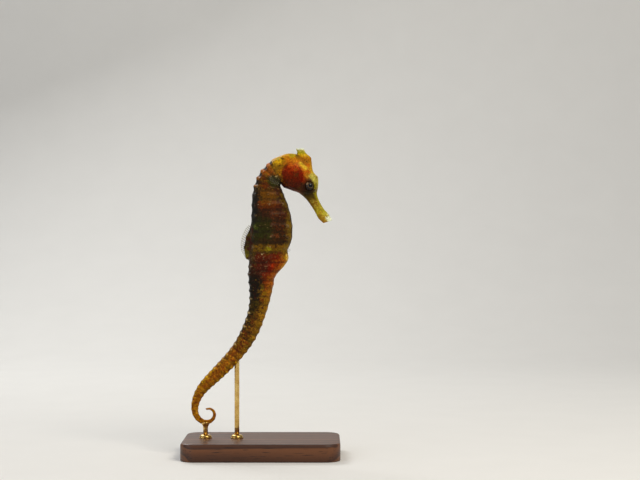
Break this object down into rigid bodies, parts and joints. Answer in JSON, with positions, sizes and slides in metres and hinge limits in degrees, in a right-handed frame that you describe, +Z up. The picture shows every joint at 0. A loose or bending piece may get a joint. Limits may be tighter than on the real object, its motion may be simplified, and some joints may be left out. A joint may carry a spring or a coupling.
{
  "type": "seahorse",
  "caption": "Life-size seahorse with its head bent down, a short coronet, a brood pouch and a long ringed tail that ends in a curl, held upright on a plain wooden stand with short brass rods.",
  "frame": {"origin": "centre of the stand's underside, on the surface that it stands on", "axes": "+Z up; +X the way the animal faces, with its back to -X; +Y to the animal's left"},
  "size_m": [0.072, 0.046, 0.1412],
  "materials": {
    "snout": "yellow skin over a bony tube, with near-white lips, slightly moist",
    "head": "yellow crown and dark red gill cover, slightly moist skin",
    "coronet": "pale yellow tip on an olive-yellow column",
    "eye_left": "wet dark eye with a grey-brown iris",
    "eye_right": "wet dark eye with a grey-brown iris",
    "neck": "orange knobs between dark brown blotches",
    "trunk_upper": "dark brown and orange-brown ringed skin, near black down the back",
    "trunk_lower": "dark olive and brown ringed skin with small yellow spots",
    "brood_pouch": "smooth red-orange skin with a yellow front edge",
    "tail_1": "near black back, orange-brown side",
    "tail_2": "orange-brown ringed skin with olive-yellow blotches",
    "tail_3": "orange-brown ringed skin with red-brown mottling",
    "tail_4": "orange-brown ringed skin",
    "tail_5": "orange-brown ringed skin",
    "tail_6": "orange-brown ringed skin",
    "tail_7": "orange-brown skin at the curled tip",
    "dorsal_fin": "thin see-through membrane on pale rays over an olive fleshy base",
    "anal_fin": "thin see-through membrane on pale rays",
    "pectoral_fin_left": "thin see-through membrane on pale rays",
    "pectoral_fin_right": "thin see-through membrane on pale rays",
    "stand_base": "dark walnut, satin lacquer",
    "stand_rod_tail": "satin brass",
    "stand_rod_curl": "satin brass",
    "stand_collar_tail": "satin brass",
    "stand_collar_curl": "satin brass"
  },
  "bodies": {
    "root": {"snout": "snout", "head": "head", "coronet": "coronet", "eye_left": "eye_left", "eye_right": "eye_right", "neck": "neck", "trunk_upper": "trunk_upper", "trunk_lower": "trunk_lower", "brood_pouch": "brood_pouch", "tail_1": "tail_1", "tail_2": "tail_2", "tail_3": "tail_3", "tail_4": "tail_4", "tail_5": "tail_5", "tail_6": "tail_6", "tail_7": "tail_7", "dorsal_fin": "dorsal_fin", "anal_fin": "anal_fin", "pectoral_fin_left": "pectoral_fin_left", "pectoral_fin_right": "pectoral_fin_right", "stand_base": "stand_base", "stand_rod_tail": "stand_rod_tail", "stand_rod_curl": "stand_rod_curl", "stand_collar_tail": "stand_collar_tail", "stand_collar_curl": "stand_collar_curl"}
  },
  "joints": []
}
